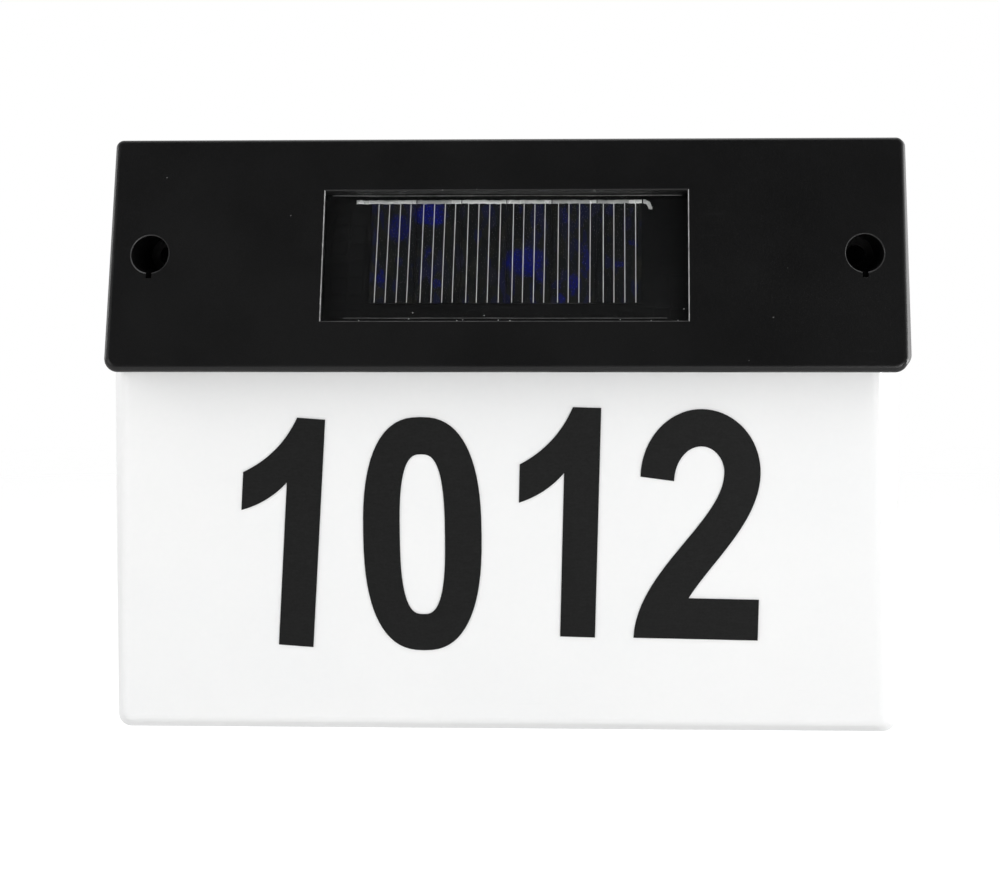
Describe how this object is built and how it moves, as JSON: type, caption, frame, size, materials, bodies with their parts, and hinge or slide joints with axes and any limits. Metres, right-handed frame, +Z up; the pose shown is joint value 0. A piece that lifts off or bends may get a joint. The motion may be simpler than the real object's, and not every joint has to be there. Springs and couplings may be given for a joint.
{
  "type": "illuminated house number sign",
  "caption": "Solar house number sign: a black wedge housing with a solar window above a translucent light box with plain black numerals, screwed flat to a wall.",
  "frame": {"origin": "on the wall plane, midway between the two wall screw holes", "axes": "+X to the right as seen from the front, +Y into the wall, +Z up"},
  "size_m": [0.1891, 0.0391, 0.1399],
  "materials": {
    "housing_plastic": "fine moulded grain",
    "diffuser_plastic": "translucent white, smooth",
    "gasket_rubber": "matt",
    "clear_window": "clear, polished",
    "dark_board": "black laminate",
    "solar_silicon": "dark blue crystal flecks with fine silver fingers",
    "tinned_ribbon": "tinned copper strip",
    "numeral_film": "satin vinyl film",
    "battery_sleeve": "printed sleeve, plain",
    "plated_steel": "nickel plated",
    "green_board": "solder mask",
    "white_board": "white solder mask",
    "black_epoxy": "moulded",
    "ferrite": "wound ferrite",
    "clear_led": "clear epoxy",
    "lead_red": "smooth insulation",
    "lead_black": "smooth insulation",
    "screw_steel": "zinc plated"
  },
  "bodies": {
    "sign": {"front_housing": "housing_plastic", "back_cover": "housing_plastic", "light_box_front": "diffuser_plastic", "light_box_back": "diffuser_plastic", "cover_gasket": "gasket_rubber", "window_gasket": "gasket_rubber", "solar_window": "clear_window", "solar_board": "dark_board", "battery_cell": "battery_sleeve", "battery_contact_positive": "plated_steel", "battery_contact_negative": "plated_steel", "control_board": "green_board", "driver_chip": "black_epoxy", "choke_coil": "ferrite", "switch_body": "plated_steel", "led_board": "white_board", "numeral_one_left": "numeral_film", "numeral_zero": "numeral_film", "numeral_one_right": "numeral_film", "numeral_two": "numeral_film", "lead_battery_minus": "lead_black", "lead_battery_plus": "lead_red", "lead_solar_minus": "lead_black", "lead_solar_plus": "lead_red", "lead_led_minus": "lead_black", "lead_led_plus": "lead_red", "cover_screws": "screw_steel", "control_screws": "screw_steel", "led_board_screws": "screw_steel", "light_box_screws": "screw_steel", "solar_board_screws": "screw_steel", "solar_cell_1": "solar_silicon", "solar_cell_2": "solar_silicon", "solar_cell_3": "solar_silicon", "solar_cell_4": "solar_silicon", "solar_cell_5": "solar_silicon", "solar_cell_6": "solar_silicon", "cell_ribbon_1": "tinned_ribbon", "cell_ribbon_2": "tinned_ribbon", "cell_ribbon_3": "tinned_ribbon", "cell_ribbon_4": "tinned_ribbon", "cell_ribbon_5": "tinned_ribbon", "cell_ribbon_6": "tinned_ribbon", "cell_ribbon_7": "tinned_ribbon", "led_1": "clear_led", "led_2": "clear_led", "led_3": "clear_led", "led_4": "clear_led"},
    "battery_door": {"battery_door": "housing_plastic"},
    "switch_slider": {"switch_slider": "black_epoxy"}
  },
  "joints": [
    {"name": "battery_door_lift", "type": "slide", "parent": "sign", "child": "battery_door", "axis": [0, 1, 0], "range_m": [0, 0.02]},
    {"name": "switch_slide", "type": "slide", "parent": "sign", "child": "switch_slider", "axis": [1, 0, 0], "range_m": [0, 0.002]}
  ]
}
